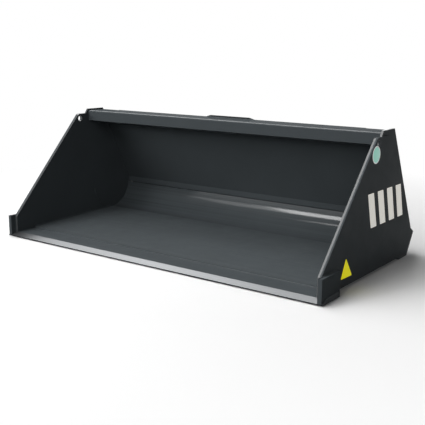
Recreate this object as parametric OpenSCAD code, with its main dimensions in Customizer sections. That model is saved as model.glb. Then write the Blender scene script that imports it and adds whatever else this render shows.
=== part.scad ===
// Four-in-one loader bucket, closed, standing on its cutting edge and heel.
// X runs across the bucket, +Y to the back, +Z up. The origin is at the middle of the base.
// Side outlines are drawn in depth behind the cutting edge's tip and height above the ground.

/* [Cutting edge] */
// Length of the cutting edge across the bucket
edge_w = 2000; // [1600:10:2400]
// Depth of the cutting edge bar from its tip to the floor plate
edge_d = 160; // [130:5:190]
// Thickness of the cutting edge bar
edge_t = 20; // [16:1:25]
// Depth of the ground bevel on top of the cutting edge
bevel_d = 34; // [20:1:45]
// Height of the blunt front land of the cutting edge
land_t = 5; // [2:0.5:6]
// How far the cutting edge sticks out past each corner plate
edge_overhang = 5; // [2:1:12]

/* [Clam side plates] */
// Thickness of the side plates
side_t = 10; // [8:1:12]
// Height of the side plates above the ground
side_h = 681; // [670:1:690]
// Set-back of the side plates behind the tip of the cutting edge
side_setback = 28; // [20:1:40]
// Height of the upright front edge of the side plates
nose_h = 110; // [95:1:125]
// Slope of the front edge from the horizontal, in degrees
slope_angle = 47.5; // [46:0.5:49]
// Step from the level ledge up to the top of the side plates
ledge_drop = 27; // [20:1:35]
// Distance from the end of the ledge to the rail's front face
ledge_gap = 19; // [10:1:30]
// Radius of the corner between the slope and the ledge
slope_corner_r = 28; // [15:1:40]
// Lean of the rear edge from the vertical, in degrees
side_lean = 27.9; // [27:0.1:28.5]
// Height of the lower end of the rear edge
tail_h = 139; // [130:1:150]
// Bore of the lifting eye in each side plate
lift_eye_d = 32; // [24:1:36]
// Thickness of the strip that stiffens the front edge
strip_t = 8; // [6:1:10]
// Width of that strip across the slope
strip_w = 100; // [80:1:115]
// Thickness of the corner plates on the cutting edge
corner_t = 20; // [15:1:25]
// Height of the corner plates above the cutting edge
corner_h = 94; // [80:1:110]
// Length of the corner plates along the side
corner_d = 165; // [140:1:190]

/* [Clam floor and heel] */
// Thickness of the floor plate
floor_t = 8; // [6:1:10]
// Rise of the floor plate from the cutting edge to the heel
floor_rise = 17; // [10:1:22]
// Overlap of the floor plate on the cutting edge
floor_lap = 8; // [5:1:15]
// Inside radius of the heel
heel_r = 158; // [154:1:162]
// Thickness of the heel plate
heel_t = 10; // [8:1:12]
// Gap between the frame's blade and the heel when the clam is closed
jaw_gap = 4; // [3:0.5:6]
// Thickness of the wear plate under the heel
wear_t = 12; // [10:1:12]
// Width of the wear runners under the floor
runner_w = 60; // [40:1:90]
// Number of wear runners under the floor
runner_n = 4; // [2:1:6]
// Thickness of the ribs between the heel and its wear plate
heel_rib_t = 12; // [8:1:16]
// Number of heel ribs
heel_rib_n = 5; // [3:1:7]

/* [Moldboard] */
// Thickness of the moldboard plate
back_t = 8; // [6:1:10]
// Lean of the moldboard from the vertical, in degrees
back_lean = 26.7; // [26.3:0.1:27]
// Depth of the moldboard's face at its foot
back_foot_s = 957; // [955:0.5:959]
// Height of the moldboard's foot, at the top of the blade
back_foot_h = 222; // [218:1:228]
// Thickness of the blade at the moldboard's foot
blade_t = 16; // [12:1:20]
// Height of the blade
blade_h = 32; // [28:1:36]
// Gap between each end of the frame and the side plate beside it
frame_gap = 5; // [3:0.5:8]
// Distance from the moldboard's upper edge forward to the rail's front face
rail_reach = 125; // [115:1:130]
// Height of the rail's front face
rail_h = 60; // [56:1:66]
// How far the side plates stand up above the rail
rail_drop = 9; // [6:1:12]
// Thickness of the rail's plates
rail_t = 8; // [6:1:8]
// Bend radius of the rail's front edge
rail_bend_r = 9; // [8:0.5:12]
// How far below the rail the moldboard ends beside the clam levers
mouth_drop = 24; // [22:1:28]
// Depth of the lower beam behind the blade
beam_w = 40; // [34:1:44]
// Height of the lower beam: it reaches down behind the jaw gap
beam_h = 65; // [45:1:68]
// Wall of the lower beam
beam_wall = 5; // [4:0.5:8]
// Thickness of the middle ribs
rib_t = 12; // [8:1:16]
// Depth of the middle ribs at their middle
rib_d = 62; // [50:1:75]
// Distance of the middle ribs from the centre
mid_rib_x = 560; // [480:5:640]

/* [Hitch] */
// Thickness of the hitch plates
hitch_t = 20; // [15:1:25]
// Distance between the centres of the hitch plates
hitch_pitch = 620; // [560:5:660]
// Bore of the hitch bushes
hitch_bore_d = 40; // [30:1:50]
// Diameter of the hitch bushes
hitch_bush_d = 62; // [56:1:64]
// Length of the hitch bushes
hitch_bush_l = 44; // [30:1:60]
// Depth of the upper hitch bore
hitch_top_s = 1070; // [1050:1:1075]
// Distance from the top of the rail down to the upper hitch bore
hitch_drop = 127; // [110:1:140]
// Depth of the lower hitch bore
hitch_low_s = 1085; // [1075:1:1095]
// Height of the lower hitch bore
hitch_low_h = 200; // [190:1:205]
// Radius of the hitch plates round their bores
hitch_r = 40; // [38:1:44]
// Diameter of the tube between the hitch plates
cross_tube_d = 60; // [48:1:70]
// Width of the doubler plate at the top, at its upper edge
doubler_top_w = 258; // [220:1:300]
// Width of the doubler plate below its upper edge
doubler_w = 318; // [305:1:360]
// Thickness of the doubler plate
doubler_t = 10; // [6:1:12]
// Height of the doubler plate below the top of the rail
doubler_h = 70; // [50:1:90]

/* [Clam hinge] */
// Distance from the moldboard's face forward to the hinge axis
hinge_in = 27.8; // [27:0.1:29]
// Distance from the top of the rail down to the hinge axis
hinge_drop = 50; // [48:0.5:51]
// Diameter of the hinge shafts
shaft_d = 36; // [32:1:38]
// Diameter of the hinge bushes
bush_d = 46; // [42:1:48]
// Thickness of the bearing plates
bearing_t = 16; // [12:1:18]
// Distance from each side plate inwards to the middle of the lever and cylinder beside it
lever_inset = 87; // [85:1:91]
// Thickness of each lever plate
lever_t = 12; // [10:1:12]
// Clear width between the two plates of a lever
lever_gap = 36; // [36:1:40]
// Distance from the hinge axis to the lever pin
lever_r = 120; // [118:0.5:121]
// Rise of the lever pin seen from the hinge axis, in degrees
lever_rise = 5; // [4:0.5:6]
// Radius of the lever's hub
lever_hub_r = 22; // [21:0.5:22.5]
// Radius of the lever's end
lever_end_r = 18; // [16:0.5:18.5]
// Diameter of the lever pins
lever_pin_d = 20; // [18:1:20]
// Radial clearance of the rod eye round the lever pin
open_pivot_clearance = 5.2; // [5:0.1:5.6]

/* [Cylinders] */
// Distance from the back of the lower beam to the cylinder's base pin
base_reach = 32; // [30:0.5:34]
// Rise of the base pin above the lower beam
base_rise = 8; // [6:0.5:10]
// Offset of the closed rod eye behind the middle of its lever pin
eye_back = 4.5; // [4:0.1:5]
// Offset of the closed rod eye below the middle of its lever pin
eye_down = 1.4; // [1:0.1:2]
// Outside diameter of the barrel
barrel_d = 60; // [54:1:60]
// Bore of the barrel
barrel_bore_d = 50; // [45:1:51]
// Room between the gland and the rod eye's neck when the clam is closed
stroke = 61; // [60:0.5:64]
// Length of the gland
gland_l = 16; // [12:1:18]
// Diameter of the piston rod
rod_d = 30; // [25:1:30]
// Length of the piston
piston_l = 30; // [24:1:40]
// Outside diameter of the rod eye
rod_eye_d = 44; // [42:1:44]
// Width of the rod eye
rod_eye_w = 30; // [26:1:30]
// Outside diameter of the base eye
base_eye_d = 48; // [44:1:50]
// Diameter of the base pins
base_pin_d = 25; // [20:1:25]
// Thickness of the lugs that hold a base pin
lug_t = 12; // [10:1:12]
// Outside diameter of the hose ports
port_d = 22; // [18:1:24]

/* [Hidden] */
$fn = 64;

// Cuts run past the faces that they open by this much.
overrun = 2;
// Radial clearance of running fits.
running = 0.05;
// Gap left between pieces of different bodies that face each other.
face_gap = 2;
// Room beside each lever for its washer and the gap to the bearing plate.
lever_room = 6;
// Grease nipples and hose ports.
nipple_d = 8;
nipple_l = 9;
port_l = 12;
port_bore_d = 12;
port_inset = 20;
// Heads of pins, washers under them and the plates that hold the hinge shafts.
pin_head_t = 4;
pin_head_lip = 4;
washer_t = 3;
washer_lip = 5;
retainer_t = 6;
// Plate under the hinge levers and behind the rail's front face.
rail_floor_t = 6;
// Depth of the rail's top, back to the side plates' rear corners.
rail_d = 129;
// Start of the heel's wear plate, its rise behind the heel, the reach of its lip, and how far below the lower
// beam the heel ribs end.
wear_s = 880;
wear_angle = 56.3;
wear_lip_h = 114;
wear_bend_s = 985;
heel_rib_gap = 15;
// Neck of the levers, seen from the hinge axis: it passes over the moldboard's upper edge.
neck_s = 60;
neck_h = 30;
neck_r = 11;
// Bearing plates: reach of their rear edge round the hinge axis.
bearing_reach = 36;
bearing_shoulder_s = 26;
bearing_shoulder_h = 28;
inner_reach = 70;
// Ribs behind the moldboard: how far below the rail they end, and their depth there.
rib_top_drop = 22;
rib_top_d = 12;
inner_rib_d = 80;
// Hitch plates: how far below the rail their upper corner lies, and the cross tube and the lightening hole,
// seen from the upper and the lower bore.
hitch_root_drop = 52;
cross_tube_in = 70;
cross_tube_drop = 75;
lightening_r = 45;
lightening_in = 75;
lightening_rise = 140;
// Cylinder ends.
base_neck_d = 34;
base_cap_t = 8;
rod_neck_d = 32;
rod_neck_l = 36;
lug_lip = 2;
cap_gap = 3;
// How far the closed clam's piston stands inside the end of the barrel.
piston_inset = 8;
// How far the lower beam stands above the moldboard's foot.
beam_rise = 8;

// Depth of the whole bucket, from the tip of the cutting edge to the back of the hitch plates.
overall_d = hitch_low_s + hitch_r;

// Positions across the bucket, from the outside to the inside.
corner_out_x = edge_w / 2 - edge_overhang;
strip_out_x = corner_out_x - corner_t;
side_out_x = strip_out_x - strip_t;
side_in_x = side_out_x - side_t;
frame_x = side_in_x - frame_gap;
end_bearing_x = frame_x - bearing_t;
lever_half = lever_gap / 2 + lever_t;
lever_x = side_in_x - lever_inset;
inner_bearing_x = lever_x - lever_half - lever_room - bearing_t;
pin_in_x = inner_bearing_x + bearing_t + face_gap;

// Moldboard: depth of its face and of its back at a height.
function face_s(z) = back_foot_s - (z - back_foot_h) * tan(back_lean);
function rear_s(z) = face_s(z) + back_t / cos(back_lean);
rail_top = side_h - rail_drop;
rail_low = rail_top - rail_h;
rail_s = face_s(rail_top) - rail_reach;
rail_in_s = rail_s + rail_t;
rail_in_top = rail_top - rail_t;
mouth_h = rail_low - mouth_drop;
beam_s = back_foot_s + blade_t;
beam_back = beam_s + beam_w;
beam_top = back_foot_h + beam_rise;
beam_low = beam_top - beam_h;
heel_rib_h = beam_low - heel_rib_gap;
rib_mid_h = (rail_top + beam_top) / 2;
rib_top_h = rail_top - rib_top_drop;

// Outline of the side plates and the floor.
ledge_h = side_h - ledge_drop;
ledge_end = rail_s - ledge_gap;
ledge_start = side_setback + (ledge_h - nose_h) / tan(slope_angle);
eye_s = ledge_start + slope_corner_r * tan(slope_angle / 2);
eye_h = ledge_h - slope_corner_r;
side_top_end = rail_s + rail_d;
tail_s = side_top_end + (side_h - tail_h) * tan(side_lean);
floor_front = edge_d - floor_lap;
heel_s = back_foot_s - heel_r;
floor_back_h = edge_t + floor_rise;
heel_h = floor_back_h + floor_t + heel_r;
blade_low = back_foot_h - blade_h;
wear_tip_s = wear_bend_s + wear_lip_h / tan(wear_angle);
wear_in_s = wear_bend_s + wear_t / tan(wear_angle) - wear_t / sin(wear_angle);
wear_tip_in = [wear_tip_s - wear_t * sin(wear_angle), wear_lip_h + wear_t * cos(wear_angle)];

// Hitch plates.
hitch_top_h = rail_top - hitch_drop;
hitch_root_h = rail_top - hitch_root_drop;
cross_tube_s = hitch_top_s - cross_tube_in;
cross_tube_h = hitch_top_h - cross_tube_drop;
lightening_s = hitch_low_s - lightening_in;
lightening_h = hitch_low_h + lightening_rise;

// Hinge, lever pin of the closed clam, base pin and rod eye.
hinge_h = rail_top - hinge_drop;
hinge_s = face_s(hinge_h) - hinge_in;
lever_pin = [hinge_s + lever_r * cos(lever_rise), hinge_h + lever_r * sin(lever_rise)];
base_s = beam_back + base_reach;
base_h = beam_top + base_rise;
cyl_run = lever_pin + [eye_back, -eye_down] - [base_s, base_h];
cyl_l = norm(cyl_run);
cyl_angle = atan2(cyl_run[1], cyl_run[0]);
barrel_l = cyl_l - rod_neck_l - stroke - gland_l;
// Stations along a cylinder from its base pin.
cap_start = base_eye_d / 2 + lug_lip + cap_gap;
cap_end = cap_start + base_cap_t;
gland_end = barrel_l + gland_l;
piston_end = barrel_l - piston_inset;
rod_start = piston_end - piston_l;
neck_start = cyl_l - rod_neck_l;

module place() { translate([0, -overall_d / 2, 0]) children(); }
// Extrudes a side outline, drawn in depth and height, across the bucket from x0 to x1.
module slab(x0, x1) { translate([x0, 0, 0]) rotate([90, 0, 90]) linear_extrude(x1 - x0) children(); }
// A round bar across the bucket.
module bar(x0, x1, s, z, d) { translate([x0, s, z]) rotate([0, 90, 0]) cylinder(h = x1 - x0, d = d); }
module ring(x0, x1, s, z, d, bore) {
    difference() {
        bar(x0, x1, s, z, d);
        bar(x0 - overrun, x1 + overrun, s, z, bore);
    }
}
module left() { mirror([1, 0, 0]) children(); }
module pair() {
    children();
    left() children();
}
// Two discs joined by their outer tangents.
module link(a, ra, b, rb) {
    v = b - a;
    turn = atan2(v[1], v[0]);
    open = acos((ra - rb) / norm(v));
    translate(a) circle(r = ra);
    translate(b) circle(r = rb);
    polygon([
        a + ra * [cos(turn + open), sin(turn + open)],
        b + rb * [cos(turn + open), sin(turn + open)],
        b + rb * [cos(turn - open), sin(turn - open)],
        a + ra * [cos(turn - open), sin(turn - open)]]);
}
// Places a piece along the right cylinder: Z runs from the base pin to the rod eye.
module along() { translate([lever_x, base_s, base_h]) rotate([cyl_angle - 90, 0, 0]) children(); }
module across_bar(w, d) { translate([-w / 2, 0, 0]) rotate([0, 90, 0]) cylinder(h = w, d = d); }

module cutting_edge() {
    color([0.62, 0.63, 0.64]) place() slab(-edge_w / 2, edge_w / 2)
        polygon([[0, 0], [edge_d, 0], [edge_d, edge_t], [bevel_d, edge_t], [0, land_t]]);
}

module floor_plate() {
    color([0.30, 0.33, 0.34]) place() slab(-side_in_x, side_in_x)
        polygon([[floor_front, edge_t], [heel_s, floor_back_h],
            [heel_s, floor_back_h + floor_t], [floor_front, edge_t + floor_t]]);
}

module heel_plate() {
    color([0.24, 0.26, 0.27]) place() slab(-side_in_x, side_in_x) intersection() {
        translate([heel_s, heel_h]) difference() {
            circle(r = heel_r + heel_t, $fn = 128);
            circle(r = heel_r, $fn = 128);
        }
        translate([heel_s, 0]) square([heel_r + heel_t + overrun, blade_low - jaw_gap]);
    }
}

module heel_wear_plate() {
    color([0.20, 0.22, 0.23]) place() slab(-side_out_x, side_out_x)
        polygon([[wear_s, 0], [wear_bend_s, 0], [wear_tip_s, wear_lip_h],
            wear_tip_in, [wear_in_s, wear_t], [wear_s, wear_t]]);
}

module heel_ribs() {
    span = 2 * side_in_x / (heel_rib_n + 1);
    color([0.20, 0.22, 0.23]) place() for (i = [1:heel_rib_n]) {
        x = i * span - side_in_x;
        slab(x - heel_rib_t / 2, x + heel_rib_t / 2) difference() {
            polygon([[wear_s, wear_t], [wear_in_s, wear_t], wear_tip_in,
                [wear_in_s, heel_rib_h], [wear_s, heel_rib_h]]);
            translate([heel_s, heel_h]) circle(r = heel_r + heel_t, $fn = 128);
        }
    }
}

module wear_runners() {
    span = 2 * side_in_x / runner_n;
    color([0.45, 0.46, 0.47]) place() for (i = [0:runner_n - 1]) {
        x = (i + 0.5) * span - side_in_x;
        slab(x - runner_w / 2, x + runner_w / 2) difference() {
            polygon([[edge_d, 0], [wear_s, 0], [wear_s, heel_h - heel_r], [heel_s, floor_back_h],
                [edge_d, edge_t + floor_lap * floor_rise / (heel_s - floor_front)]]);
            translate([heel_s, heel_h]) circle(r = heel_r + heel_t, $fn = 128);
        }
    }
}

// The front corner of a side outline, from the nose up the slope to the lobe round the lifting eye.
lobe_tangent = slope_corner_r * tan(slope_angle / 2);
front_corner = [[side_setback, edge_t], [side_setback, nose_h],
    [ledge_start - lobe_tangent * cos(slope_angle), ledge_h - lobe_tangent * sin(slope_angle)],
    [eye_s, eye_h], [eye_s, ledge_h]];
module lobe(x0, x1) { bar(x0, x1, eye_s, eye_h, 2 * slope_corner_r); }
module lift_eye() { bar(side_in_x - overrun, strip_out_x + overrun, eye_s, eye_h, lift_eye_d); }

module side_plate() {
    color([0.16, 0.18, 0.19]) place() difference() {
        union() {
            slab(side_in_x, side_out_x) polygon(concat(front_corner, [
                [ledge_end, ledge_h], [rail_s, side_h], [side_top_end, side_h], [tail_s, tail_h],
                wear_tip_in, [wear_in_s, wear_t], [edge_d, wear_t], [edge_d, edge_t]]));
            lobe(side_in_x, side_out_x);
        }
        lift_eye();
    }
}
module side_plate_right() { side_plate(); }
module side_plate_left() { left() side_plate(); }

module edge_strip() {
    reach = strip_w / sin(slope_angle);
    foot = side_setback + reach + (edge_t + corner_h - nose_h) / tan(slope_angle);
    color([0.17, 0.19, 0.20]) place() difference() {
        union() {
            slab(side_out_x, strip_out_x) polygon(concat(front_corner, [
                [ledge_start + reach, ledge_h], [foot, edge_t + corner_h], [foot, edge_t]]));
            lobe(side_out_x, strip_out_x);
        }
        lift_eye();
    }
}
module edge_strip_right() { edge_strip(); }
module edge_strip_left() { left() edge_strip(); }

module corner_plate() {
    color([0.18, 0.20, 0.21]) place() slab(strip_out_x, corner_out_x)
        polygon([[0, land_t], [bevel_d, edge_t], [corner_d, edge_t],
            [corner_d, edge_t + corner_h], [0, edge_t + corner_h]]);
}
module corner_plate_right() { corner_plate(); }
module corner_plate_left() { left() corner_plate(); }

module hinge_shaft() {
    color([0.6, 0.6, 0.62]) place() bar(inner_bearing_x - face_gap, side_in_x, hinge_s, hinge_h, shaft_d);
}
module hinge_shaft_right() { hinge_shaft(); }
module hinge_shaft_left() { left() hinge_shaft(); }

module shaft_retainers() {
    x = inner_bearing_x - face_gap;
    color([0.5, 0.5, 0.52]) place() pair() bar(x - retainer_t, x, hinge_s, hinge_h, bush_d - face_gap);
}

module lever_outline() {
    hub = [hinge_s, hinge_h];
    neck = hub + [neck_s, neck_h];
    link(hub, lever_hub_r, neck, neck_r);
    link(neck, neck_r, lever_pin, lever_end_r);
}
module lever() {
    cut_half = lever_half + overrun;
    color([0.22, 0.24, 0.25]) place() difference() {
        union() {
            slab(lever_x - lever_half, lever_x - lever_gap / 2) lever_outline();
            slab(lever_x + lever_gap / 2, lever_x + lever_half) lever_outline();
            bar(lever_x - lever_half, lever_x + lever_half, hinge_s, hinge_h, 2 * lever_hub_r);
        }
        bar(lever_x - cut_half, lever_x + cut_half, hinge_s, hinge_h, shaft_d);
        bar(lever_x - cut_half, lever_x + cut_half, lever_pin[0], lever_pin[1], lever_pin_d);
    }
}
module lever_right() { lever(); }
module lever_left() { left() lever(); }

module lever_pin() {
    head = lever_x + lever_half + washer_t;
    color([0.65, 0.65, 0.67]) place() {
        bar(pin_in_x, head, lever_pin[0], lever_pin[1], lever_pin_d);
        bar(head, head + pin_head_t, lever_pin[0], lever_pin[1], lever_pin_d + 2 * pin_head_lip);
    }
}
module lever_pin_right() { lever_pin(); }
module lever_pin_left() { left() lever_pin(); }

module lever_pin_washers() {
    outer_d = lever_pin_d + 2 * washer_lip;
    color([0.7, 0.7, 0.72]) place() pair()
        for (x = [lever_x - lever_half - washer_t, lever_x + lever_half])
            ring(x, x + washer_t, lever_pin[0], lever_pin[1], outer_d, lever_pin_d);
}

module back_plate() {
    color([0.24, 0.26, 0.27]) place() difference() {
        slab(-frame_x, frame_x) polygon([[face_s(back_foot_h), back_foot_h], [face_s(rail_top), rail_top],
            [rear_s(rail_top), rail_top], [rear_s(back_foot_h), back_foot_h]]);
        pair() translate([inner_bearing_x, rail_s, mouth_h])
            cube([frame_x - inner_bearing_x + overrun, 2 * rail_d, rail_top - mouth_h + overrun]);
    }
}

module back_blade() {
    color([0.30, 0.32, 0.33]) place() slab(-frame_x, frame_x)
        translate([back_foot_s, blade_low]) square([blade_t, blade_h]);
}

module top_rail() {
    color([0.30, 0.32, 0.33]) place() slab(-frame_x, frame_x) {
        translate([rail_s, rail_low]) square([rail_t, rail_h - rail_bend_r]);
        polygon([[rail_s + rail_bend_r, rail_in_top], [face_s(rail_in_top), rail_in_top],
            [face_s(rail_top), rail_top], [rail_s + rail_bend_r, rail_top]]);
        translate([rail_s + rail_bend_r, rail_top - rail_bend_r]) intersection() {
            difference() {
                circle(r = rail_bend_r);
                circle(r = rail_bend_r - rail_t);
            }
            translate([-rail_bend_r, 0]) square(rail_bend_r);
        }
    }
}

module rail_floor() {
    color([0.20, 0.22, 0.23]) place() slab(-frame_x, frame_x)
        polygon([[rail_in_s, rail_low], [rail_in_s, rail_low + rail_floor_t],
            [face_s(mouth_h), mouth_h], [face_s(mouth_h - rail_floor_t), mouth_h - rail_floor_t]]);
}

module lower_beam() {
    color([0.20, 0.22, 0.23]) place() slab(-end_bearing_x, end_bearing_x)
        translate([beam_s, beam_low]) difference() {
            square([beam_w, beam_h]);
            translate([beam_wall, beam_wall]) square([beam_w - 2 * beam_wall, beam_h - 2 * beam_wall]);
        }
}

module middle_ribs() {
    color([0.20, 0.22, 0.23]) place() pair() slab(mid_rib_x - rib_t / 2, mid_rib_x + rib_t / 2)
        polygon([[rear_s(beam_top), beam_top], [beam_back, beam_top], [rear_s(rib_mid_h) + rib_d, rib_mid_h],
            [rear_s(rib_top_h) + rib_top_d, rib_top_h], [rear_s(rib_top_h), rib_top_h]]);
}

// Plates that fill the rail's hollow round the hinge bushes.
module bearing_front() {
    polygon([[rail_in_s, rail_low + rail_floor_t], [rail_in_s, rail_in_top], [face_s(rail_in_top), rail_in_top],
        [hinge_s + bearing_shoulder_s, hinge_h + bearing_shoulder_h], [hinge_s + bearing_reach, hinge_h],
        [rear_s(mouth_h), mouth_h], [face_s(mouth_h), mouth_h]]);
}
module end_bearing() {
    color([0.20, 0.22, 0.23]) place() difference() {
        slab(end_bearing_x, frame_x) bearing_front();
        bar(end_bearing_x - overrun, frame_x + overrun, hinge_s, hinge_h, bush_d);
    }
}
module end_bearing_right() { end_bearing(); }
module end_bearing_left() { left() end_bearing(); }

module inner_bearing() {
    color([0.20, 0.22, 0.23]) place() difference() {
        slab(inner_bearing_x, inner_bearing_x + bearing_t) {
            bearing_front();
            polygon([[hinge_s, hinge_h], [hinge_s + bearing_shoulder_s, hinge_h + bearing_shoulder_h],
                [hinge_s + inner_reach, hinge_h], [rear_s(rib_mid_h) + inner_rib_d, rib_mid_h],
                [beam_back, beam_top], [rear_s(beam_top), beam_top], [rear_s(mouth_h), mouth_h],
                [face_s(mouth_h), mouth_h]]);
        }
        bar(inner_bearing_x - overrun, inner_bearing_x + bearing_t + overrun, hinge_s, hinge_h, bush_d);
    }
}
module inner_bearing_right() { inner_bearing(); }
module inner_bearing_left() { left() inner_bearing(); }

module hinge_bushes() {
    color([0.72, 0.58, 0.30]) place() pair() for (x = [inner_bearing_x, end_bearing_x])
        ring(x, x + bearing_t, hinge_s, hinge_h, bush_d, shaft_d + 2 * running);
}

module hitch_plate() {
    x = hitch_pitch / 2 - hitch_t / 2;
    color([0.20, 0.22, 0.23]) place() difference() {
        union() {
            slab(x, x + hitch_t)
                link([hitch_top_s, hitch_top_h], hitch_r, [hitch_low_s, hitch_low_h], hitch_r);
            slab(x, x + hitch_t) polygon([[rear_s(hitch_root_h), hitch_root_h],
                [hitch_top_s, hitch_top_h + hitch_r], [hitch_top_s, hitch_top_h],
                [hitch_low_s, hitch_low_h], [hitch_low_s, hitch_low_h - hitch_r],
                [beam_back, hitch_low_h - hitch_r], [beam_back, beam_top], [rear_s(beam_top), beam_top]]);
        }
        bar(x - overrun, x + hitch_t + overrun, hitch_top_s, hitch_top_h, hitch_bush_d);
        bar(x - overrun, x + hitch_t + overrun, hitch_low_s, hitch_low_h, hitch_bush_d);
        bar(x - overrun, x + hitch_t + overrun, lightening_s, lightening_h, 2 * lightening_r);
    }
}
module hitch_plate_right() { hitch_plate(); }
module hitch_plate_left() { left() hitch_plate(); }

module hitch_bushes() {
    x = hitch_pitch / 2 - hitch_bush_l / 2;
    color([0.45, 0.46, 0.47]) place() pair() {
        ring(x, x + hitch_bush_l, hitch_top_s, hitch_top_h, hitch_bush_d, hitch_bore_d);
        ring(x, x + hitch_bush_l, hitch_low_s, hitch_low_h, hitch_bush_d, hitch_bore_d);
    }
}

module hitch_cross_tube() {
    x = hitch_pitch / 2 - hitch_t / 2;
    bore = cross_tube_d - 2 * beam_wall;
    color([0.20, 0.22, 0.23]) place() ring(-x, x, cross_tube_s, cross_tube_h, cross_tube_d, bore);
}

module top_doubler() {
    low = rail_top - doubler_h;
    high = rail_top + rail_drop;
    thick = doubler_t / cos(back_lean);
    color([0.22, 0.24, 0.25]) place() intersection() {
        slab(-doubler_w / 2, doubler_w / 2) polygon([[rear_s(low), low], [rear_s(high), high],
            [rear_s(high) + thick, high], [rear_s(low) + thick, low]]);
        translate([0, rear_s(low) + thick + overrun, 0]) rotate([90, 0, 0])
            linear_extrude(2 * rail_d) polygon([[-doubler_w / 2, low], [-doubler_w / 2, rail_top],
                [-doubler_top_w / 2, high], [doubler_top_w / 2, high],
                [doubler_w / 2, rail_top], [doubler_w / 2, low]]);
    }
}

module lug_outline() {
    r = base_eye_d / 2 + lug_lip;
    translate([base_s, base_h]) circle(r = r);
    polygon([[beam_back, beam_low], [beam_back, beam_top],
        [base_s - r * cos(cyl_angle - 90), base_h + r * sin(cyl_angle - 90)],
        [base_s + r * sin(cyl_angle - 90), base_h - r * cos(cyl_angle - 90)]]);
}
module cylinder_lugs() {
    near = lever_gap / 2 + face_gap;
    color([0.20, 0.22, 0.23]) place() for (x = [lever_x - near - lug_t, lever_x + near])
        difference() {
            slab(x, x + lug_t) lug_outline();
            bar(x - overrun, x + lug_t + overrun, base_s, base_h, base_pin_d);
        }
}
module cylinder_lugs_right() { cylinder_lugs(); }
module cylinder_lugs_left() { left() cylinder_lugs(); }

module base_pin() {
    head = lever_x + lever_gap / 2 + face_gap + lug_t;
    color([0.65, 0.65, 0.67]) place() {
        bar(pin_in_x, head, base_s, base_h, base_pin_d);
        bar(head, head + pin_head_t, base_s, base_h, base_pin_d + 2 * pin_head_lip);
    }
}
module base_pin_right() { base_pin(); }
module base_pin_left() { left() base_pin(); }

module grease_nipples() {
    head = lever_x + lever_gap / 2 + face_gap + lug_t + pin_head_t;
    color([0.75, 0.7, 0.5]) place() pair() bar(head, head + nipple_l, base_s, base_h, nipple_d);
}

module barrel() {
    color([0.15, 0.16, 0.17]) place() along() difference() {
        translate([0, 0, cap_end]) cylinder(h = barrel_l - cap_end, d = barrel_d);
        translate([0, 0, cap_end - overrun]) cylinder(h = barrel_l - cap_end + 2 * overrun, d = barrel_bore_d);
    }
}
module barrel_right() { barrel(); }
module barrel_left() { left() barrel(); }

module base_eye() {
    color([0.15, 0.16, 0.17]) place() along() difference() {
        union() {
            across_bar(lever_gap, base_eye_d);
            cylinder(h = cap_end, d = base_neck_d);
            translate([0, 0, cap_start]) cylinder(h = base_cap_t, d = barrel_d);
        }
        across_bar(lever_gap + 2 * overrun, base_pin_d + 2 * running);
    }
}
module base_eye_right() { base_eye(); }
module base_eye_left() { left() base_eye(); }

module gland() {
    color([0.25, 0.26, 0.27]) place() along() translate([0, 0, barrel_l]) difference() {
        cylinder(h = gland_l, d = barrel_d);
        translate([0, 0, -overrun]) cylinder(h = gland_l + 2 * overrun, d = rod_d + 2 * running);
    }
}
module gland_right() { gland(); }
module gland_left() { left() gland(); }

module hose_ports() {
    color([0.25, 0.26, 0.27]) place() along() for (z = [cap_end + port_inset, barrel_l - port_inset])
        translate([0, 0, z]) difference() {
            rotate([-90, 0, 0]) cylinder(h = barrel_d / 2 + port_l, d = port_d);
            translate([0, 0, -port_d]) cylinder(h = 2 * port_d, d = barrel_d);
            rotate([-90, 0, 0]) cylinder(h = barrel_d / 2 + port_l + overrun, d = port_bore_d);
        }
}
module hose_ports_right() { hose_ports(); }
module hose_ports_left() { left() hose_ports(); }

module piston_rod() {
    color([0.85, 0.86, 0.88]) place() along() translate([0, 0, rod_start])
        cylinder(h = neck_start - rod_start, d = rod_d);
}
module piston_rod_right() { piston_rod(); }
module piston_rod_left() { left() piston_rod(); }

module piston() {
    color([0.5, 0.5, 0.5]) place() along() translate([0, 0, rod_start]) difference() {
        cylinder(h = piston_l, d = barrel_bore_d - 2 * running);
        translate([0, 0, -overrun]) cylinder(h = piston_l + 2 * overrun, d = rod_d);
    }
}
module piston_right() { piston(); }
module piston_left() { left() piston(); }

module rod_eye() {
    color([0.3, 0.31, 0.32]) place() along() translate([0, 0, cyl_l]) difference() {
        union() {
            across_bar(rod_eye_w, rod_eye_d);
            translate([0, 0, -rod_neck_l]) cylinder(h = rod_neck_l, d = rod_neck_d);
        }
        across_bar(rod_neck_d + 2 * overrun, lever_pin_d + 2 * open_pivot_clearance);
    }
}
module rod_eye_right() { rod_eye(); }
module rod_eye_left() { left() rod_eye(); }

cutting_edge();
floor_plate();
heel_plate();
heel_wear_plate();
heel_ribs();
wear_runners();
side_plate_left();
side_plate_right();
edge_strip_left();
edge_strip_right();
corner_plate_left();
corner_plate_right();
hinge_shaft_left();
hinge_shaft_right();
shaft_retainers();
lever_left();
lever_right();
lever_pin_left();
lever_pin_right();
lever_pin_washers();
back_plate();
back_blade();
top_rail();
rail_floor();
lower_beam();
middle_ribs();
end_bearing_left();
end_bearing_right();
inner_bearing_left();
inner_bearing_right();
hinge_bushes();
hitch_plate_left();
hitch_plate_right();
hitch_bushes();
hitch_cross_tube();
top_doubler();
cylinder_lugs_left();
cylinder_lugs_right();
base_pin_left();
base_pin_right();
grease_nipples();
barrel_left();
barrel_right();
base_eye_left();
base_eye_right();
gland_left();
gland_right();
hose_ports_left();
hose_ports_right();
piston_rod_left();
piston_rod_right();
piston_left();
piston_right();
rod_eye_left();
rod_eye_right();
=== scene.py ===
"""Looks of the four-in-one bucket: paint, weld seams, edge finishes, markers and the studio round it."""
import math

import bpy
from mathutils import Matrix, Vector


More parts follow.
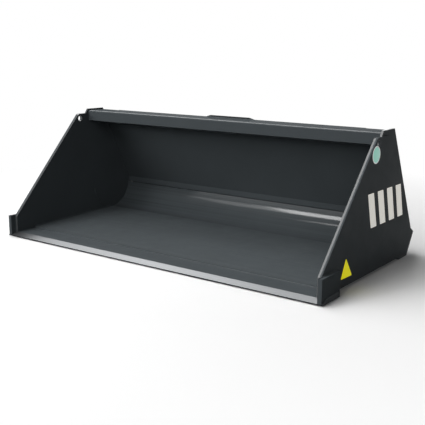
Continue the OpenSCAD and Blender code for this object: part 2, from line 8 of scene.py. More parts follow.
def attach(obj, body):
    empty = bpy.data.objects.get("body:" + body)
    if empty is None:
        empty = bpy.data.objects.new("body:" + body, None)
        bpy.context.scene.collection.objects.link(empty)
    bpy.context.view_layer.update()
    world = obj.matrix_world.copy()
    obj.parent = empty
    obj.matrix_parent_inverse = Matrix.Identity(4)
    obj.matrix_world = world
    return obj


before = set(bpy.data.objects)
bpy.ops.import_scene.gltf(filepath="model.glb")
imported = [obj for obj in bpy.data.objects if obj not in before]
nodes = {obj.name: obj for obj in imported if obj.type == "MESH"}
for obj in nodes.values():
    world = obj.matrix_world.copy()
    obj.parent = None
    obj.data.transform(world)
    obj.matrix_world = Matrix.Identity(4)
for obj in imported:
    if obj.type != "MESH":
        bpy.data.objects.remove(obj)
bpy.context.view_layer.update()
MM = 0.001
MID_S = 562.5  # depth of the model's origin behind the cutting edge's tip, in mm


def at(x, s, z):
    """A point of the drawing, across, depth and height in mm, as a point of the model in metres."""
    return Vector((x * MM, (s - MID_S) * MM, z * MM))


def bearing(azimuth, elevation):
    """Unit vector to a place so many degrees round from the front towards the right, and so many up."""
    azimuth, elevation = math.radians(azimuth), math.radians(elevation)
    level = math.cos(elevation)
    return Vector((math.sin(azimuth) * level, -math.cos(azimuth) * level, math.sin(elevation)))


# ---------------------------------------------------------------- camera
CAMERA_PLACE = (2.3849, -3.2463, 1.0456)
CAMERA_AZIMUTH, CAMERA_ELEVATION, CAMERA_ROLL = 36.065, 12.272, 0.485
SENSOR_WIDTH = 36.0
FOCAL_PIXELS, PICTURE_PIXELS = 753.9, 425.0


def place_camera():
    azimuth, roll = math.radians(CAMERA_AZIMUTH), math.radians(CAMERA_ROLL)
    back = bearing(CAMERA_AZIMUTH, CAMERA_ELEVATION)
    right = Vector((math.cos(azimuth), math.sin(azimuth), 0.0))
    up = back.cross(right)
    turned_right = right * math.cos(roll) + up * math.sin(roll)
    turned_up = up * math.cos(roll) - right * math.sin(roll)
    bpy.ops.object.camera_add(location=CAMERA_PLACE)
    camera = bpy.context.object
    camera.name = "photo_camera"
    camera.rotation_euler = Matrix((turned_right, turned_up, back)).transposed().to_euler()
    camera.data.sensor_width = SENSOR_WIDTH
    camera.data.lens = SENSOR_WIDTH * FOCAL_PIXELS / PICTURE_PIXELS
    camera.data.clip_end = 200.0
    bpy.context.scene.camera = camera


# ---------------------------------------------------------------- effects shared by the finishes
NOISE_LOW, NOISE_HIGH = 0.3, 0.7  # nearly all of a noise texture lies between these
SKIN_OUTPUTS = [("Colour", "NodeSocketColor"), ("Roughness", "NodeSocketFloat"), ("Normal", "NodeSocketVector")]


def new_group(name, inputs, outputs):
    group = bpy.data.node_groups.new(name, "ShaderNodeTree")
    for label, kind, value in inputs:
        socket = group.interface.new_socket(name=label, in_out="INPUT", socket_type=kind)
        socket.default_value = value
    for label, kind in outputs:
        group.interface.new_socket(name=label, in_out="OUTPUT", socket_type=kind)
    return group, group.nodes.new("NodeGroupInput").outputs, group.nodes.new("NodeGroupOutput").inputs


def feed(tree, socket, value):
    """Links a socket to another one, or sets its constant."""
    if isinstance(value, bpy.types.NodeSocket):
        tree.links.new(value, socket)
    else:
        socket.default_value = value


def add(tree, kind, inputs=(), **settings):
    node = tree.nodes.new(kind)
    for key, value in settings.items():
        setattr(node, key, value)
    for key, value in dict(inputs).items():
        feed(tree, node.inputs[key], value)
    return node


def maths(tree, operation, *values):
    return add(tree, "ShaderNodeMath", dict(enumerate(values)), operation=operation).outputs[0]


def noise(tree, spot, scale, detail, roughness=0.5):
    inputs = {"Vector": spot, "Scale": scale, "Detail": detail, "Roughness": roughness}
    return add(tree, "ShaderNodeTexNoise", inputs).outputs["Fac"]


def remap(tree, value, low, high, to_low, to_high):
    inputs = {"Value": value, "From Min": low, "From Max": high, "To Min": to_low, "To Max": to_high}
    return add(tree, "ShaderNodeMapRange", inputs).outputs["Result"]


def spread(tree, fac, to_low, to_high):
    """Spreads a noise texture over the whole of a range."""
    return remap(tree, fac, NOISE_LOW, NOISE_HIGH, to_low, to_high)


def mix_values(tree, factor, a, b):
    return add(tree, "ShaderNodeMix", {0: factor, 2: a, 3: b}).outputs[0]


def mix_colours(tree, factor, a, b, blend="MIX"):
    inputs = {0: factor, 6: a, 7: b}
    return add(tree, "ShaderNodeMix", inputs, data_type="RGBA", blend_type=blend).outputs[2]


def shaded(tree, colour, level):
    """The colour times a level of grey."""
    grey = add(tree, "ShaderNodeCombineColor", {0: level, 1: level, 2: level}).outputs["Color"]
    return mix_colours(tree, 1.0, colour, grey, "MULTIPLY")


def facing(tree, axis):
    """How far a face looks along one axis of the bucket, from -1 to 1."""
    normal = add(tree, "ShaderNodeTexCoord").outputs["Normal"]
    return add(tree, "ShaderNodeSeparateXYZ", {0: normal}).outputs[axis]


def seen_directly(tree):
    """1 for what the camera sees, itself, in gloss or through glass, and 0 for diffuse light."""
    rays = add(tree, "ShaderNodeLightPath").outputs
    shown = maths(tree, "MAXIMUM", rays["Is Camera Ray"], rays["Is Glossy Ray"])
    return maths(tree, "MAXIMUM", shown, rays["Is Transmission Ray"])


def build_sprayed_paint():
    """Sprayed paint: broad shade drift, streaks across the bucket, fine orange peel and drifting gloss."""
    group, given, result = new_group(
        "sprayed_paint",
        [("Colour", "NodeSocketColor", (0.05, 0.06, 0.06, 1.0)), ("Drift", "NodeSocketFloat", 0.10),
         ("Streaks", "NodeSocketFloat", 0.0),
         ("Peel Size", "NodeSocketFloat", 260.0), ("Peel Depth", "NodeSocketFloat", 0.05),
         ("Gloss Low", "NodeSocketFloat", 0.34), ("Gloss High", "NodeSocketFloat", 0.42)],
        SKIN_OUTPUTS)
    spot = add(group, "ShaderNodeTexCoord").outputs["Object"]
    drift = spread(group, noise(group, spot, 3.0, 3.0, 0.55), maths(group, "SUBTRACT", 1.0, given["Drift"]), 1.0)
    stretched = add(group, "ShaderNodeMapping", {"Vector": spot, "Scale": (0.5, 60.0, 60.0)}).outputs[0]
    streak = spread(group, noise(group, stretched, 1.0, 3.0, 0.6),
                    maths(group, "SUBTRACT", 1.0, given["Streaks"]), maths(group, "ADD", 1.0, given["Streaks"]))
    feed(group, result["Colour"], shaded(group, given["Colour"], maths(group, "MULTIPLY", drift, streak)))
    smear = noise(group, spot, 14.0, 4.0, 0.6)
    feed(group, result["Roughness"], spread(group, smear, given["Gloss Low"], given["Gloss High"]))
    peel = noise(group, spot, given["Peel Size"], 2.0)
    bump = add(group, "ShaderNodeBump", {"Strength": given["Peel Depth"], "Distance": 0.001, "Height": peel})
    feed(group, result["Normal"], bump.outputs["Normal"])
    return group


def build_cut_edge():
    """1 on a side plate's cut edge, whose normal has little part across the bucket, and 0 on its broad sides."""
    group, given, result = new_group("cut_edge", [("Sharpness", "NodeSocketFloat", 0.3)],
                                     [("Mask", "NodeSocketFloat")])
    across = maths(group, "ABSOLUTE", facing(group, "X"))
    feed(group, result["Mask"], remap(group, across, given["Sharpness"], 0.7, 1.0, 0.0))
    return group


def build_plate_bend():
    """Gloss by the way a folded plate faces: full on the bend, near nothing on its upper face and its front."""
    group, given, result = new_group(
        "plate_bend",
        [("Bend", "NodeSocketFloat", 1.0), ("Top", "NodeSocketFloat", 0.03), ("Front", "NodeSocketFloat", 0.03)],
        [("Mask", "NodeSocketFloat")])
    upward = facing(group, "Z")
    on_bend = mix_values(group, remap(group, upward, 0.25, 0.45, 0.0, 1.0), given["Front"], given["Bend"])
    on_top = mix_values(group, remap(group, upward, 0.90, 0.98, 0.0, 1.0), on_bend, given["Top"])
    feed(group, result["Mask"], on_top)
    return group


def build_ground_bevel():
    """Two masks on the cutting edge: its sloping ground bevel, and the upright blunt front below it, which takes
    a painted shade.
    """
    group, given, result = new_group("ground_bevel", [("Steepest", "NodeSocketFloat", 0.8)],
                                     [("Bevel", "NodeSocketFloat"), ("Front", "NodeSocketFloat")])
    forward = maths(group, "MULTIPLY", facing(group, "Y"), -1.0)
    slopes = maths(group, "GREATER_THAN", forward, 0.2)
    front = maths(group, "GREATER_THAN", forward, given["Steepest"])
    feed(group, result["Bevel"], maths(group, "SUBTRACT", slopes, front))
    feed(group, result["Front"], front)
    return group


def build_machined_grain():
    """Machined metal: fine turning lines and worn patches."""
    group, given, result = new_group(
        "machined_grain",
        [("Colour", "NodeSocketColor", (0.5, 0.5, 0.5, 1.0)), ("Line Size", "NodeSocketFloat", 900.0),
         ("Depth", "NodeSocketFloat", 0.1), ("Rough", "NodeSocketFloat", 0.3)],
        SKIN_OUTPUTS)
    spot = add(group, "ShaderNodeTexCoord").outputs["Object"]
    patches = noise(group, spot, 40.0, 3.0)
    feed(group, result["Colour"], shaded(group, given["Colour"], spread(group, patches, 0.8, 1.0)))
    feed(group, result["Roughness"], maths(group, "ADD", given["Rough"], spread(group, patches, -0.06, 0.06)))
    stretched = add(group, "ShaderNodeMapping", {"Vector": spot, "Scale": (8.0, 1.0, 1.0)}).outputs[0]
    lines = noise(group, stretched, given["Line Size"], 1.0)
    bump = add(group, "ShaderNodeBump", {"Strength": given["Depth"], "Distance": 0.0004, "Height": lines})
    feed(group, result["Normal"], bump.outputs["Normal"])
    return group


sprayed_paint = build_sprayed_paint()
cut_edge = build_cut_edge()
plate_bend = build_plate_bend()
ground_bevel = build_ground_bevel()
machined_grain = build_machined_grain()


# ---------------------------------------------------------------- makers of the finishes
def start_material(name):
    material = bpy.data.materials.new(name)
    material.use_nodes = True
    return material, *shader_of(material)


def shader_of(material):
    return material.node_tree, material.node_tree.nodes["Principled BSDF"]


def source(socket):
    """The output that a linked socket takes its value from."""
    return socket.links[0].from_socket


def use_skin(tree, shader, group, settings):
    """Takes colour, roughness and normal from a node group with these settings."""
    skin = add(tree, "ShaderNodeGroup", settings, node_tree=group).outputs
    feed(tree, shader.inputs["Base Color"], skin["Colour"])
    feed(tree, shader.inputs["Roughness"], skin["Roughness"])
    feed(tree, shader.inputs["Normal"], skin["Normal"])


def use_mask(tree, group):
    return add(tree, "ShaderNodeGroup", node_tree=group).outputs


def painted(name, colour, low, high, specular=0.3, coat=0.0, coat_rough=0.12, peel=0.05, drift=0.10, streaks=0.0):
    material, tree, shader = start_material(name)
    use_skin(tree, shader, sprayed_paint, {"Colour": (*colour, 1.0), "Gloss Low": low, "Gloss High": high,
                                           "Peel Depth": peel, "Drift": drift, "Streaks": streaks})
    shader.inputs["Specular IOR Level"].default_value = specular
    shader.inputs["Coat Weight"].default_value = coat
    shader.inputs["Coat Roughness"].default_value = coat_rough
    material.diffuse_color = (*colour, 1.0)
    return material


def edge_painted(name, colour, edge_colour, low, high, specular, coat_rough):
    """Paint that is glossier and a little lighter on the plate's cut edges."""
    material = painted(name, colour, low, high, specular, coat_rough=coat_rough)
    tree, shader = shader_of(material)
    mask = use_mask(tree, cut_edge)["Mask"]
    base = shader.inputs["Base Color"]
    feed(tree, shader.inputs["Coat Weight"], mask)
    feed(tree, base, mix_colours(tree, mask, source(base), (*edge_colour, 1.0)))
    return material


def bend_painted(name, colour, low, high, specular, coat_rough):
    """Paint with more gloss where the plate is bent."""
    material = painted(name, colour, low, high, specular, coat_rough=coat_rough)
    tree, shader = shader_of(material)
    feed(tree, shader.inputs["Coat Weight"], use_mask(tree, plate_bend)["Mask"])
    return material


def bevel_painted(name, colour, bevel_colour, front_shade_colour):
    """Paint on the cutting edge's flat top, ground steel on its bevel, and near black on its blunt front: a
    painted shade for the dark gap under the edge.
    """
    material = painted(name, colour, 0.40, 0.50, specular=0.10, coat_rough=0.20)
    tree, shader = shader_of(material)
    masks = use_mask(tree, ground_bevel)
    base, rough = shader.inputs["Base Color"], shader.inputs["Roughness"]
    with_bevel = mix_colours(tree, masks["Bevel"], source(base), (*bevel_colour, 1.0))
    # Painted shade: the blunt front is made near black, for the shadow gap under the cutting edge.
    feed(tree, base, mix_colours(tree, masks["Front"], with_bevel, (*front_shade_colour, 1.0)))
    feed(tree, rough, remap(tree, masks["Bevel"], 0.0, 1.0, source(rough), 0.36))
    feed(tree, shader.inputs["Metallic"], maths(tree, "MULTIPLY", masks["Bevel"], 0.85))
    return material


def glowing_film(name, colour, glow):
    """Film paint that glows with its own colour: painted light, which makes the markers bright on the shaded side
    plate.
    """
    material = painted(name, colour, 0.34, 0.42, specular=0.2, peel=0.01, drift=0.05)
    tree, shader = shader_of(material)
    # Painted light: the film glows with its own colour, though it is no lamp.
    feed(tree, shader.inputs["Emission Color"], source(shader.inputs["Base Color"]))
    shader.inputs["Emission Strength"].default_value = glow
    return material


def metal(name, colour, rough, depth=0.1):
    material, tree, shader = start_material(name)
    use_skin(tree, shader, machined_grain, {"Colour": (*colour, 1.0), "Depth": depth, "Rough": rough})
    shader.inputs["Metallic"].default_value = 1.0
    material.diffuse_color = (*colour, 1.0)
    return material


# ---------------------------------------------------------------- finishes
BUCKET_GREY = (0.067, 0.077, 0.083)
# The bucket's grey made a shade lighter for the floor plate: painted light, as the floor faces up to the lamps.
LIT_FLOOR_GREY = (0.077, 0.088, 0.094)
EDGE_GREY = (0.085, 0.09, 0.094)
GROUND_STEEL = (0.165, 0.17, 0.175)
# Near black for the cutting edge's blunt front: a painted shade, for the dark gap under it.
FRONT_SHADE_GREY = (0.020, 0.022, 0.024)

# Painted light: the floor plate gets the lighter copy of the bucket's grey.
lit_floor_paint = painted("lit_floor_paint", LIT_FLOOR_GREY, 0.40, 0.50, specular=0.08, coat=0.30, coat_rough=0.20,
                       streaks=0.07)
back_paint = painted("back_paint", BUCKET_GREY, 0.42, 0.52, specular=0.02, coat=0.03, coat_rough=0.20)
heel_paint = painted("heel_paint", BUCKET_GREY, 0.36, 0.46, specular=0.05, coat=0.9, coat_rough=0.11,
                     streaks=0.16)
rail_paint = bend_painted("rail_paint", BUCKET_GREY, 0.40, 0.50, specular=0.0, coat_rough=0.10)
side_paint = edge_painted("side_paint", BUCKET_GREY, EDGE_GREY, 0.5, 0.6, specular=0.05, coat_rough=0.14)
strip_paint = painted("strip_paint", BUCKET_GREY, 0.5, 0.6, specular=0.05)
edge_bar_paint = bevel_painted("edge_bar_paint", BUCKET_GREY, GROUND_STEEL, FRONT_SHADE_GREY)
corner_paint = painted("corner_paint", BUCKET_GREY, 0.5, 0.6, specular=0.03)
rear_paint = painted("rear_paint", BUCKET_GREY, 0.42, 0.52, specular=0.12, coat=0.20)
black_paint = painted("black_paint", (0.022, 0.024, 0.025), 0.30, 0.38, specular=0.4, coat=0.2)
bead_paint = painted("bead_paint", BUCKET_GREY, 0.36, 0.46, specular=0.12, coat=0.2)
bright_steel = metal("bright_steel", (0.52, 0.52, 0.53), 0.34)
dark_steel = metal("dark_steel", (0.20, 0.20, 0.21), 0.42)
hard_chrome = metal("hard_chrome", (0.78, 0.79, 0.81), 0.12, depth=0.02)
bronze = metal("bronze", (0.55, 0.36, 0.15), 0.36)
zinc = metal("zinc", (0.58, 0.55, 0.45), 0.38)
# The marker films, each with how strongly it glows: painted light, not a lamp.
yellow_glowing_film = glowing_film("yellow_glowing_film", (0.80, 0.72, 0.01), 0.55)
mint_glowing_film = glowing_film("mint_glowing_film", (0.36, 0.74, 0.62), 0.40)
white_glowing_film = glowing_film("white_glowing_film", (0.80, 0.82, 0.80), 0.40)
cream_glowing_film = glowing_film("cream_glowing_film", (0.76, 0.74, 0.68), 0.55)


def pair(*names):
    """The left and the right node of each of these names."""
    return [name + side for name in names for side in ("_left", "_right")]


FINISH = {
    lit_floor_paint: ["floor_plate"],
    heel_paint: ["heel_plate"],
    back_paint: ["back_plate", "back_blade"],
    rail_paint: ["top_rail", "top_doubler"],
    side_paint: pair("side_plate"),
    strip_paint: pair("edge_strip"),
    edge_bar_paint: ["cutting_edge"],
    corner_paint: pair("corner_plate"),
    rear_paint: ["heel_wear_plate", "heel_ribs", "wear_runners", "rail_floor", "lower_beam", "middle_ribs",
                 "hitch_cross_tube",
                 *pair("end_bearing", "inner_bearing", "hitch_plate", "cylinder_lugs", "lever")],
    black_paint: pair("barrel", "base_eye", "gland", "rod_eye"),
    bright_steel: ["shaft_retainers", *pair("hinge_shaft", "lever_pin", "base_pin", "piston")],
    dark_steel: ["hitch_bushes", *pair("hose_ports")],
    hard_chrome: pair("piston_rod"),
    bronze: ["hinge_bushes"],
    zinc: ["grease_nipples", "lever_pin_washers"],
}


def finish_nodes():
    finished = set()
    for material, names in FINISH.items():
        for name in names:
            node = nodes[name]
            node.data.materials.clear()
            node.data.materials.append(material)
            finished.add(name)
    missing = set(nodes) - finished
    if missing:
        raise RuntimeError("no finish for " + ", ".join(sorted(missing)))


# ---------------------------------------------------------------- small pieces
SMOOTH_UNDER = math.radians(50.0)
QUARTER_TURN = math.radians(90.0)
BEAD_SIDES = 10
RING_STEPS = 64
# One ripple of a seam: its radius at the ends as a share of the seam's, how much it swells, and how soon.
RIPPLE_FOOT, RIPPLE_SWELL, RIPPLE_RISE, RIPPLE_FALL = 0.88, 1.14, 0.45, 0.55


def clear_selection():
    bpy.ops.object.select_all(action="DESELECT")


def select_only(piece):
    clear_selection()
    bpy.context.view_layer.objects.active = piece
    piece.select_set(True)


def start_edit():
    bpy.ops.object.mode_set(mode="EDIT")
    bpy.ops.mesh.select_all(action="SELECT")


def leave_edit():
    bpy.ops.object.mode_set(mode="OBJECT")


def extrude_by(offset):
    bpy.ops.mesh.extrude_region_move(TRANSFORM_OT_translate={"value": offset})


def keep_piece(piece, name, body, material):
    """Puts the finished piece's place into its mesh, gives it its finish and lets it ride on its body."""
    select_only(piece)
    bpy.ops.object.transform_apply(location=True, rotation=True, scale=True)
    bpy.ops.object.shade_smooth_by_angle(angle=SMOOTH_UNDER)
    piece.name = name
    piece.data.materials.clear()
    piece.data.materials.append(material)
    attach(piece, body)
    return piece


def apply_modifier(piece, kind, **settings):
    modifier = piece.modifiers.new("shape", kind)
    for key, value in settings.items():
        setattr(modifier, key, value)
    select_only(piece)
    bpy.ops.object.modifier_apply(modifier=modifier.name)


def close_ends(piece):
    bpy.context.view_layer.objects.active = piece
    start_edit()
    bpy.ops.mesh.fill_holes(sides=0)
    bpy.ops.mesh.select_all(action="SELECT")
    bpy.ops.mesh.normals_make_consistent(inside=False)
    leave_edit()


def weld_run(name, body, start, end, radius, ripple=6.0):
    """A straight weld seam of overlapping ripples from start to end."""
    clear_selection()
    step = ripple * MM
    bpy.ops.mesh.primitive_circle_add(vertices=BEAD_SIDES, radius=radius * MM * RIPPLE_FOOT,
                                      location=(0.0, 0.0, 0.0))
    seam = bpy.context.object
    start_edit()
    extrude_by((0.0, 0.0, step * RIPPLE_RISE))
    bpy.ops.transform.resize(value=(RIPPLE_SWELL, RIPPLE_SWELL, 1.0))
    extrude_by((0.0, 0.0, step * RIPPLE_FALL))
    bpy.ops.transform.resize(value=(1 / RIPPLE_SWELL, 1 / RIPPLE_SWELL, 1.0))
    leave_edit()
    run = end - start
    count = max(2, round(run.length / step))
    apply_modifier(seam, "ARRAY", count=count, use_relative_offset=False, use_constant_offset=True,
                   constant_offset_displace=(0.0, 0.0, step), use_merge_vertices=True, merge_threshold=0.00005)
    close_ends(seam)
    seam.scale = (1.0, 1.0, run.length / (count * step))
    seam.rotation_euler = run.to_track_quat("Z", "Y").to_euler()
    seam.location = start
    return keep_piece(seam, name, body, bead_paint)


def weld_ring(name, body, centre, radius, thickness, axis=None, slot="bucket_paint", material=bead_paint):
    """A weld seam, or a ring of round section, round a bar that runs across the bucket or along the axis."""
    clear_selection()
    rotation = axis.to_track_quat("Z", "Y").to_euler() if axis else (0.0, QUARTER_TURN, 0.0)
    bpy.ops.mesh.primitive_torus_add(location=centre, rotation=rotation, major_radius=radius * MM,
                                     minor_radius=thickness * MM, major_segments=RING_STEPS,
                                     minor_segments=BEAD_SIDES)
    return keep_piece(bpy.context.object, name, body, material)


def both_sides(make, name, body, *places, **more):
    """Makes a piece on the right and its twin on the left."""
    make(name + "_right", body, *[at(*place) for place in places], **more)
    make(name + "_left", body, *[at(-place[0], *place[1:]) for place in places], **more)


# Places below are across, depth and height in mm, as at() takes them.
FLOOR_LAP = 151.0  # depth of the floor plate's front edge, on the cutting edge
HEEL_S, HEEL_SEAM_Z, HEEL_CENTRE_Z, HEEL_SWEEP = 799.0, 46.5, 203.0, math.radians(83.0)
MOLDBOARD_FOOT_S, MOLDBOARD_FOOT_Z, MOLDBOARD_THICKNESS = 957.0, 222.0, 8.0
MOLDBOARD_LEAN = math.radians(26.7)
SEAM_OUT = 1.5  # how far a seam's middle stands off the moldboard
HITCH_BORES = (("upper", 1070.0, 545.0), ("lower", 1085.0, 200.0))
BASE_PIN = (1045.0, 238.0)
CYLINDER_X = 870.0
UP_THE_CYLINDER = Vector((0.0, -0.440636, 0.897686))
OUT_OF_THE_PORTS = Vector((0.0, 0.897686, 0.440636))


def behind_moldboard(z):
    """Depth of a seam on the moldboard's rear face at a height."""
    front = MOLDBOARD_FOOT_S - (z - MOLDBOARD_FOOT_Z) * math.tan(MOLDBOARD_LEAN)
    return front + MOLDBOARD_THICKNESS / math.cos(MOLDBOARD_LEAN) + SEAM_OUT


def heel_seam(side):
    """The weld between the rolled heel and a side plate: a bead spun round the heel's curve."""
    clear_selection()
    x = side * 956.0
    bpy.ops.mesh.primitive_circle_add(vertices=BEAD_SIDES, radius=4.0 * MM, location=at(x, HEEL_S, HEEL_SEAM_Z))
    seam = bpy.context.object
    seam.rotation_euler = (QUARTER_TURN, 0.0, 0.0)
    bpy.ops.object.transform_apply(location=True, rotation=True, scale=True)
    start_edit()
    bpy.ops.mesh.spin(steps=96, angle=HEEL_SWEEP, center=at(x, HEEL_S, HEEL_CENTRE_Z), axis=(1.0, 0.0, 0.0),
                      use_auto_merge=False)
    leave_edit()
    close_ends(seam)
    word = "right" if side > 0 else "left"
    return keep_piece(seam, "heel_weld_" + word, "clam", bead_paint)


def weld_clam():
    weld_run("floor_lap_weld", "clam", at(-950, FLOOR_LAP, 20.5), at(950, FLOOR_LAP, 20.5), 3.6, ripple=7.0)
    both_sides(weld_run, "floor_side_weld", "clam", (955.5, 158.0, 29.6), (955.5, 797.0, 46.4), radius=4.0)
    heel_seam(1)
    heel_seam(-1)
    for name, start, end, radius in (
            ("edge_strip_weld", (967.6, 658.0, 651.0), (967.6, 169.0, 118.0), 2.6),
            ("corner_foot_weld", (995.6, 38.0, 20.6), (995.6, 163.0, 20.6), 3.0),
            ("corner_top_weld", (975.6, 4.0, 114.4), (975.6, 163.0, 114.4), 3.0),
            ("corner_rear_weld", (975.6, 165.6, 24.0), (975.6, 165.6, 112.0), 3.0)):
        both_sides(weld_run, name, "clam", start, end, radius=radius)


def weld_frame():
    beam_s = behind_moldboard(232)
    weld_run("beam_weld", "frame", at(-934, beam_s, 231.5), at(934, beam_s, 231.5), 4.0)
    weld_run("rail_top_weld", "frame", at(-816, 731.5, 671.2), at(816, 731.5, 671.2), 2.6)
    for name, x, low, high, radius in (
            ("rib_outer_weld", 567.5, 238, 640, 4.0), ("rib_inner_weld", 552.5, 238, 640, 4.0),
            ("hitch_outer_weld", 322.0, 240, 612, 5.0), ("hitch_inner_weld", 298.0, 240, 612, 5.0),
            ("bearing_weld", 816.5, 240, 580, 4.0)):
        both_sides(weld_run, name, "frame", (x, behind_moldboard(low), low), (x, behind_moldboard(high), high),
                   radius=radius)
    for name, x in (("lug_weld_a", 837.0), ("lug_weld_b", 851.0), ("lug_weld_c", 889.0), ("lug_weld_d", 903.0)):
        both_sides(weld_run, name, "frame", (x, 1014.0, 170.0), (x, 1014.0, 226.0), radius=2.6)
    for name, s, z in HITCH_BORES:
        for face, x in (("outer", 321.0), ("inner", 299.0)):
            both_sides(weld_ring, "hitch_bush_weld_" + name + "_" + face, "frame", (x, s, z), radius=32.0,
                       thickness=3.2)
    both_sides(weld_ring, "cross_tube_weld", "frame", (298.5, 1000.0, 470.0), radius=31.0, thickness=3.6)


def dress_cylinder(side):
    """Seams, seals and port collars of one cylinder, by their distance from its base pin in mm."""
    word = "right" if side > 0 else "left"
    barrel, rod = "barrel_" + word + "_body", "rod_" + word + "_body"
    base = at(side * CYLINDER_X, *BASE_PIN)
    for name, body, station, radius, thickness, material, slot in (
            ("barrel_cap_weld", barrel, 37.0, 30.0, 2.4, black_paint, "cylinder_paint"),
            ("base_neck_weld", barrel, 28.6, 17.4, 2.2, black_paint, "cylinder_paint"),
            ("gland_joint", barrel, 324.9, 30.0, 1.2, dark_steel, "steel"),
            ("gland_lip", barrel, 339.6, 28.6, 1.5, dark_steel, "steel"),
            ("rod_wiper", barrel, 341.0, 17.9, 2.4, black_paint, "cylinder_paint"),
            ("rod_neck_weld", rod, 401.9, 15.2, 1.8, black_paint, "cylinder_paint")):
        weld_ring(name + "_" + word, body, base + UP_THE_CYLINDER * station * MM, radius, thickness,
                  axis=UP_THE_CYLINDER, slot=slot, material=material)
    for name, station in (("low", 57.0), ("high", 304.9)):
        foot = base + UP_THE_CYLINDER * station * MM
        for part, reach, radius, thickness, material, slot in (
                ("port_weld_", 29.5, 11.2, 1.8, black_paint, "cylinder_paint"),
                ("port_lip_", 41.2, 9.6, 1.3, bright_steel, "steel")):
            weld_ring(part + name + "_" + word, barrel, foot + OUT_OF_THE_PORTS * reach * MM, radius, thickness,
                      axis=OUT_OF_THE_PORTS, slot=slot, material=material)


def dress_pins():
    """Rims of the lifting eyes, and rounded edges on the pins, the shaft retainers and the hitch's bushes."""
    for name, x in (("outer", 974.4), ("inner", 957.6)):
        both_sides(weld_ring, "lift_eye_rim_" + name, "clam", (x, 538.8, 626.0), radius=17.2, thickness=1.5)
    both_sides(weld_ring, "base_pin_rim", "frame", (905.0, *BASE_PIN), radius=15.2, thickness=1.3, slot="steel",
               material=bright_steel)
    both_sides(weld_ring, "retainer_rim", "clam", (801.5, 728.0, 622.0), radius=20.6, thickness=1.3,
               slot="steel", material=bright_steel)
    for name, s, z in HITCH_BORES:
        for face, x in (("outer", 331.2), ("inner", 288.8)):
            both_sides(weld_ring, "hitch_bush_lip_" + name + "_" + face, "frame", (x, s, z), radius=25.4,
                       thickness=2.2, slot="steel", material=dark_steel)


# ---------------------------------------------------------------- markers on the right side plate
PLATE_FACE, STRIP_FACE = 967.0, 975.0  # across, the outer faces of the side plate and of the strip on it
FILM_THICKNESS = 0.5
DISC_S, DISC_Z = 520.0, 577.0
BAR_STARTS = (470.0, 575.0, 680.0, 785.0)
BAR_WIDTH, BAR_LEAN, BAR_LOW, BAR_HIGH = 62.0, 48.0, 232.0, 398.0


def film(name, corners, material, round_by):
    """A thin film stuck on the right side plate: the outline is given by depth and height in mm."""
    clear_selection()
    bpy.ops.mesh.primitive_circle_add(vertices=len(corners), radius=0.05, fill_type="NGON",
                                      location=(0.0, 0.0, 0.0))
    sheet = bpy.context.object
    for vertex, (s, z) in zip(sheet.data.vertices, corners):
        vertex.co = at(PLATE_FACE, s, z)
    start_edit()
    bpy.ops.mesh.bevel(offset=round_by * MM, segments=6, affect="VERTICES")
    bpy.ops.mesh.select_all(action="SELECT")
    extrude_by((FILM_THICKNESS * MM, 0.0, 0.0))
    bpy.ops.mesh.select_all(action="SELECT")
    bpy.ops.mesh.normals_make_consistent(inside=False)
    leave_edit()
    return keep_piece(sheet, name, "clam", material)


def round_film(name, radius, x, material, thickness):
    clear_selection()
    bpy.ops.mesh.primitive_cylinder_add(vertices=64, radius=radius * MM, depth=thickness * MM,
                                        location=at(x + thickness / 2, DISC_S, DISC_Z),
                                        rotation=(0.0, QUARTER_TURN, 0.0))
    disc = bpy.context.object
    apply_modifier(disc, "BEVEL", width=0.0001, segments=2, limit_method="ANGLE")
    return keep_piece(disc, name, "clam", material)


def stick_markers():
    film("yellow_marker", [(228, 52), (337, 49), (272, 141)], yellow_glowing_film, round_by=8.0)
    round_film("pale_marker_rim", 41.0, STRIP_FACE, white_glowing_film, FILM_THICKNESS)
    round_film("pale_marker", 36.0, STRIP_FACE + FILM_THICKNESS, mint_glowing_film, 0.3)
    for number, start in enumerate(BAR_STARTS, 1):
        foot = start + BAR_LEAN
        outline = [(foot, BAR_LOW), (foot + BAR_WIDTH, BAR_LOW), (start + BAR_WIDTH, BAR_HIGH), (start, BAR_HIGH)]
        film("plain_bar_" + str(number), outline, cream_glowing_film, round_by=3.0)


# ---------------------------------------------------------------- studio
FLOOR_SIZE = 60.0
FLOOR_LEVEL = -0.0045  # a little low, so that a dark gap shows under the cutting edge
PAPER_GREY = (0.87, 0.87, 0.87, 1.0)
BOUNCE_GREY = (0.16, 0.16, 0.16, 1.0)  # the paper as diffuse light meets it, which keeps the underside dark
GLOW_NEAR, GLOW_FAR = 1.2, 3.0  # distances from the origin where the paper starts to turn white, and is white
HORIZON, SKY_DIM_FROM, SKY_DIM = 0.09, 0.30, 0.15
WHITE = (1.0, 1.0, 1.0, 1.0)
LAMP_DISTANCE = 10.0
# Name, degrees round from the front towards the right, degrees up, degrees wide, degrees high, radiance, and
# the kind of rays that don't see the lamp.
SOFTBOXES = (
    ("front_left_softbox", -40.0, 18.0, 46.0, 10.0, 9.4, "glossy"),
    ("front_reflector", -20.0, 26.0, 24.0, 12.0, 10.0, "diffuse"),
    ("front_reflector_dim_end", -36.5, 26.0, 12.0, 12.0, 1.6, "diffuse"),
    ("high_front_softbox", -10.0, 45.0, 44.0, 28.0, 2.9, "glossy"),
    ("overhead_softbox", -72.0, 70.0, 50.0, 34.0, 4.1, ""),
    ("left_softbox", -112.0, 41.0, 26.0, 22.0, 4.0, ""),
    ("front_right_softbox", 40.0, 21.0, 20.0, 20.0, 3.4, "glossy"),
    ("rear_softbox", 212.0, 9.0, 28.0, 16.0, 1.6, ""),
)


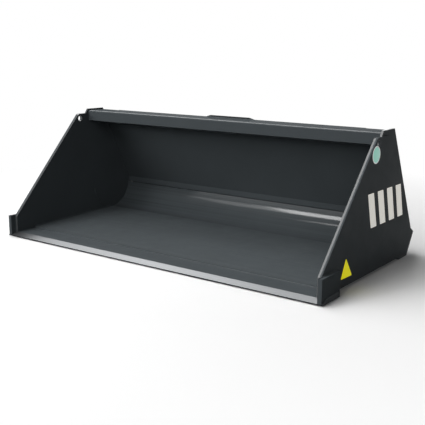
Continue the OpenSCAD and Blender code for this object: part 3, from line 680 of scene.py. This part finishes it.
def floor_paper():
    """Pale paper that takes the bucket's shadow near it and turns white far away."""
    material, tree, shader = start_material("floor_paper")
    spot = add(tree, "ShaderNodeTexCoord").outputs["Object"]
    pale = shaded(tree, PAPER_GREY, spread(tree, noise(tree, spot, 0.8, 2.0), 0.985, 1.0))
    shown = seen_directly(tree)
    feed(tree, shader.inputs["Base Color"], mix_colours(tree, shown, BOUNCE_GREY, pale))
    shader.inputs["Roughness"].default_value = 0.9
    shader.inputs["Specular IOR Level"].default_value = 0.0
    flat = add(tree, "ShaderNodeVectorMath", {0: spot, 1: (1.0, 1.0, 0.0)}, operation="MULTIPLY").outputs[0]
    away = add(tree, "ShaderNodeVectorMath", {0: flat}, operation="LENGTH").outputs["Value"]
    whiteness = maths(tree, "MULTIPLY", remap(tree, away, GLOW_NEAR, GLOW_FAR, 0.0, 1.0), shown)
    white = add(tree, "ShaderNodeEmission", {"Color": WHITE, "Strength": 1.0})
    blend = add(tree, "ShaderNodeMixShader", {0: whiteness, 1: shader.outputs[0], 2: white.outputs[0]})
    feed(tree, tree.nodes["Material Output"].inputs["Surface"], blend.outputs[0])
    return material


def lamp_side(degrees):
    """Length that spans so many degrees at the lamps' distance."""
    return 2.0 * LAMP_DISTANCE * math.tan(math.radians(degrees / 2.0))


def hang_softboxes():
    for name, azimuth, elevation, wide, high, radiance, unseen_by in SOFTBOXES:
        way = bearing(azimuth, elevation)
        bpy.ops.object.light_add(type="AREA", location=way * LAMP_DISTANCE)
        lamp = bpy.context.object
        lamp.name = name
        lamp.data.shape = "RECTANGLE"
        lamp.data.size = lamp_side(wide)
        lamp.data.size_y = lamp_side(high)
        lamp.data.energy = radiance * math.pi * lamp.data.size * lamp.data.size_y
        lamp.visible_glossy = unseen_by != "glossy"
        lamp.visible_diffuse = unseen_by != "diffuse"
        lamp.rotation_euler = (-way).to_track_quat("-Z", "Y").to_euler()


def build_air():
    """White near the horizon and dim above, as seen directly, and dark to diffuse light."""
    world = bpy.data.worlds.new("studio_air")
    world.use_nodes = True
    tree = world.node_tree
    way = add(tree, "ShaderNodeTexCoord").outputs["Generated"]
    height = add(tree, "ShaderNodeSeparateXYZ", {0: way}).outputs["Z"]
    level = remap(tree, height, HORIZON, SKY_DIM_FROM, 1.0, SKY_DIM)
    background = tree.nodes["Background"].inputs
    background["Color"].default_value = WHITE
    feed(tree, background["Strength"], maths(tree, "MULTIPLY", level, seen_directly(tree)))
    bpy.context.scene.world = world


def build_studio():
    clear_selection()
    bpy.ops.mesh.primitive_plane_add(size=FLOOR_SIZE, location=(0.0, 0.0, FLOOR_LEVEL))
    floor = bpy.context.object
    floor.name = "studio_floor"
    floor.data.materials.append(floor_paper())
    build_air()
    hang_softboxes()


bpy.context.scene.view_settings.view_transform = "Standard"
place_camera()
finish_nodes()
weld_clam()
weld_frame()
dress_cylinder(1)
dress_cylinder(-1)
dress_pins()
stick_markers()
build_studio()
